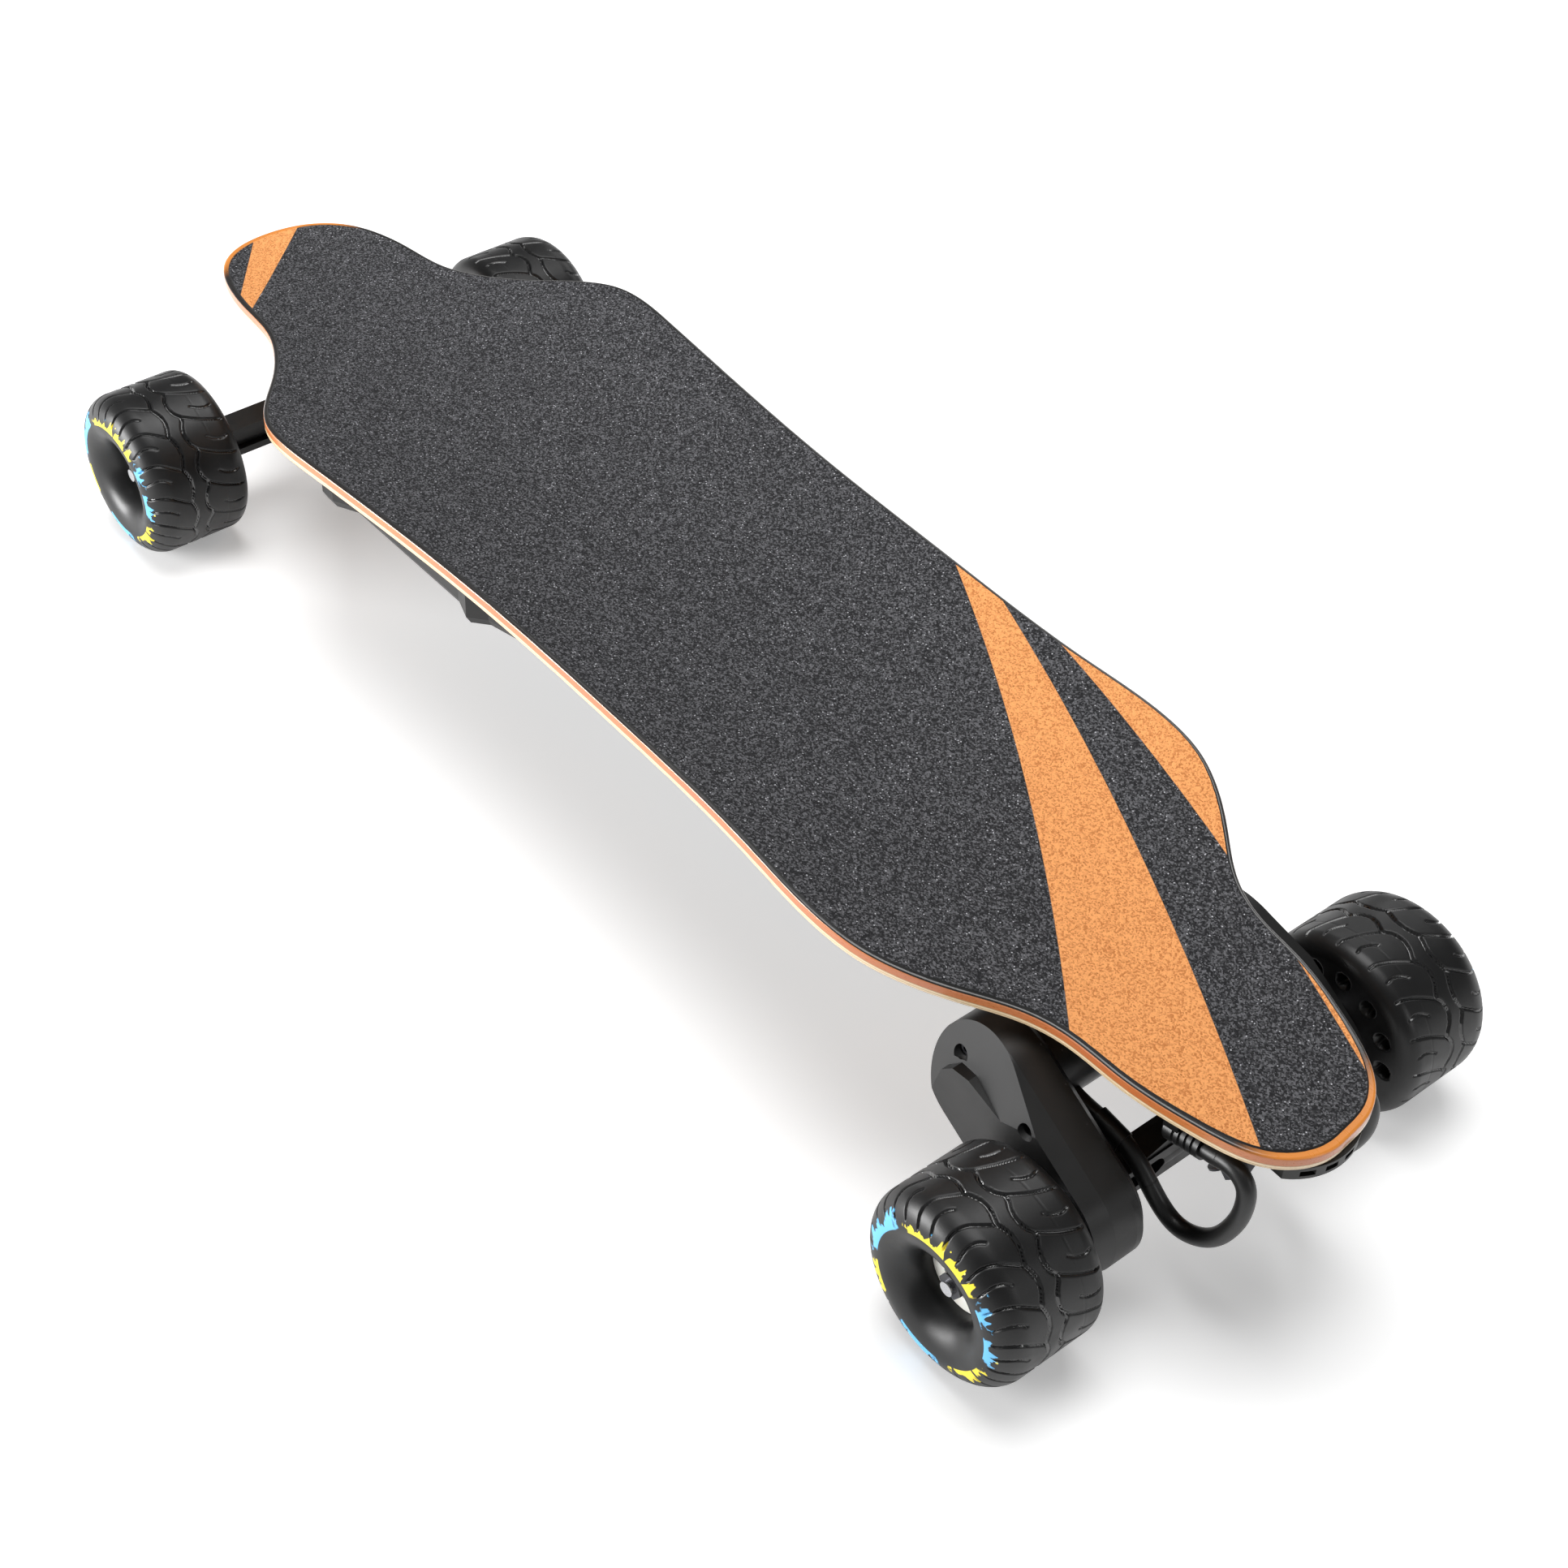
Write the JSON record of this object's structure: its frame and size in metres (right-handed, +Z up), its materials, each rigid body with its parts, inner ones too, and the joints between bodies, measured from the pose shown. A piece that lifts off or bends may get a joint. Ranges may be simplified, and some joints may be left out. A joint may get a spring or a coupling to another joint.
{
  "type": "electric skateboard",
  "caption": "Longboard-style electric skateboard: cambered plywood deck, steering trucks, grooved urethane wheels and belt drives with motors under covers at the rear.",
  "frame": {"origin": "on the ground, midway between the two axles, which is close to the middle of the bounding box", "axes": "+X towards the nose, +Y to the board's left, +Z up"},
  "size_m": [0.9525, 0.3422, 0.1531],
  "materials": {
    "maple": "lacquered bent plywood",
    "grip": "gritty charcoal surface with orange areas",
    "urethane": "grooved black urethane tread",
    "hub_plastic": "pale moulded nylon",
    "bearing_steel": "ground steel",
    "dark_fasteners": "black zinc",
    "insert_brass": "machined",
    "truck_black": "satin black coating",
    "motor_black": "black anodised",
    "rotor_steel": "bare",
    "winding": "enamelled copper",
    "pulley_metal": "machined",
    "belt_rubber": "matte",
    "cover_black": "satin moulded",
    "cable_rubber": "satin jacket",
    "case_black": "fine moulded grain",
    "seal_rubber": "soft",
    "bushing_urethane": "translucent urethane",
    "button_black": "smooth",
    "cell_wrap": "shrink wrap",
    "circuit_green": "lacquered board"
  },
  "bodies": {
    "deck": {"deck": "maple", "grip_tape": "grip", "deck_inserts": "insert_brass", "shock_pads": "seal_rubber", "front_baseplate": "truck_black", "rear_baseplate": "truck_black", "truck_bolts": "dark_fasteners", "kingpins": "dark_fasteners", "kingpin_washers": "dark_fasteners", "kingpin_nuts": "dark_fasteners", "pivot_cups": "bushing_urethane", "front_bushings": "bushing_urethane", "rear_bushings": "bushing_urethane", "enclosure": "case_black", "enclosure_gasket": "seal_rubber", "underside_screws": "dark_fasteners", "battery_pack": "cell_wrap", "motor_controller": "circuit_green", "charge_port": "case_black", "tail_bumper": "case_black", "cable_glands": "cable_rubber"},
    "front_truck": {"front_hanger": "truck_black", "front_axle": "bearing_steel", "front_axle_nuts": "dark_fasteners", "front_axle_spacers": "bearing_steel"},
    "rear_truck": {"rear_hanger": "truck_black", "rear_axle": "bearing_steel", "rear_axle_nuts": "dark_fasteners", "rear_axle_spacers": "bearing_steel", "motor_mount_left": "truck_black", "motor_mount_right": "truck_black", "motor_housing_left": "motor_black", "motor_housing_right": "motor_black", "motor_stators": "winding", "belt_cover_left": "cover_black", "belt_cover_right": "cover_black", "drive_belts": "belt_rubber", "drive_screws": "dark_fasteners", "motor_cable_left": "cable_rubber", "motor_cable_right": "cable_rubber"},
    "rotor_left": {"motor_rotor_left": "rotor_steel", "motor_pulley_left": "pulley_metal"},
    "rotor_right": {"motor_rotor_right": "rotor_steel", "motor_pulley_right": "pulley_metal"},
    "wheel_front_left": {"tyre_front_left": "urethane", "hub_front_left": "hub_plastic", "bearings_front_left": "bearing_steel"},
    "wheel_front_right": {"tyre_front_right": "urethane", "hub_front_right": "hub_plastic", "bearings_front_right": "bearing_steel"},
    "wheel_rear_left": {"tyre_rear_left": "urethane", "hub_rear_left": "hub_plastic", "bearings_rear_left": "bearing_steel", "wheel_pulley_left": "pulley_metal"},
    "wheel_rear_right": {"tyre_rear_right": "urethane", "hub_rear_right": "hub_plastic", "bearings_rear_right": "bearing_steel", "wheel_pulley_right": "pulley_metal"},
    "charge_cap": {"charge_cap": "case_black"},
    "power_button": {"power_button": "button_black"}
  },
  "joints": [
    {"name": "front_steer", "type": "hinge", "parent": "deck", "child": "front_truck", "pos_m": [0.4013, 0, 0.07], "axis": [0.6691, 0, 0.7431], "range_deg": [-12, 12], "stiffness_Nm_per_rad": 110, "deforming": ["front_bushings"]},
    {"name": "rear_steer", "type": "hinge", "parent": "deck", "child": "rear_truck", "pos_m": [-0.4013, 0, 0.07], "axis": [-0.6691, 0, 0.7431], "range_deg": [-6, 6], "stiffness_Nm_per_rad": 160, "deforming": ["rear_bushings", "motor_cable_left", "motor_cable_right"]},
    {"name": "front_left_wheel_spin", "type": "hinge", "parent": "front_truck", "child": "wheel_front_left", "pos_m": [0.3858, 0.138, 0.0525], "axis": [0, 1, 0], "continuous": true},
    {"name": "front_right_wheel_spin", "type": "hinge", "parent": "front_truck", "child": "wheel_front_right", "pos_m": [0.3858, -0.138, 0.0525], "axis": [0, 1, 0], "continuous": true},
    {"name": "rear_left_wheel_spin", "type": "hinge", "parent": "rear_truck", "child": "wheel_rear_left", "pos_m": [-0.3858, 0.138, 0.0525], "axis": [0, 1, 0], "continuous": true},
    {"name": "rear_right_wheel_spin", "type": "hinge", "parent": "rear_truck", "child": "wheel_rear_right", "pos_m": [-0.3858, -0.138, 0.0525], "axis": [0, 1, 0], "continuous": true},
    {"name": "left_motor_spin", "type": "hinge", "parent": "rear_truck", "child": "rotor_left", "pos_m": [-0.3258, 0.05, 0.0871], "axis": [0, 1, 0], "continuous": true},
    {"name": "right_motor_spin", "type": "hinge", "parent": "rear_truck", "child": "rotor_right", "pos_m": [-0.3258, -0.05, 0.0871], "axis": [0, 1, 0], "continuous": true},
    {"name": "charge_cap_hinge", "type": "hinge", "parent": "deck", "child": "charge_cap", "pos_m": [-0.11, -0.0819, 0.1272], "axis": [-1, 0, 0], "range_deg": [0, 110], "stiffness_Nm_per_rad": 0.02},
    {"name": "power_button_press", "type": "slide", "parent": "deck", "child": "power_button", "axis": [0, 1, 0], "range_m": [0, 0.002], "stiffness_N_per_m": 600}
  ],
  "couplings": [
    {"joint": "left_motor_spin", "follows": "rear_left_wheel_spin", "ratio": 2.4},
    {"joint": "right_motor_spin", "follows": "rear_right_wheel_spin", "ratio": 2.4}
  ]
}
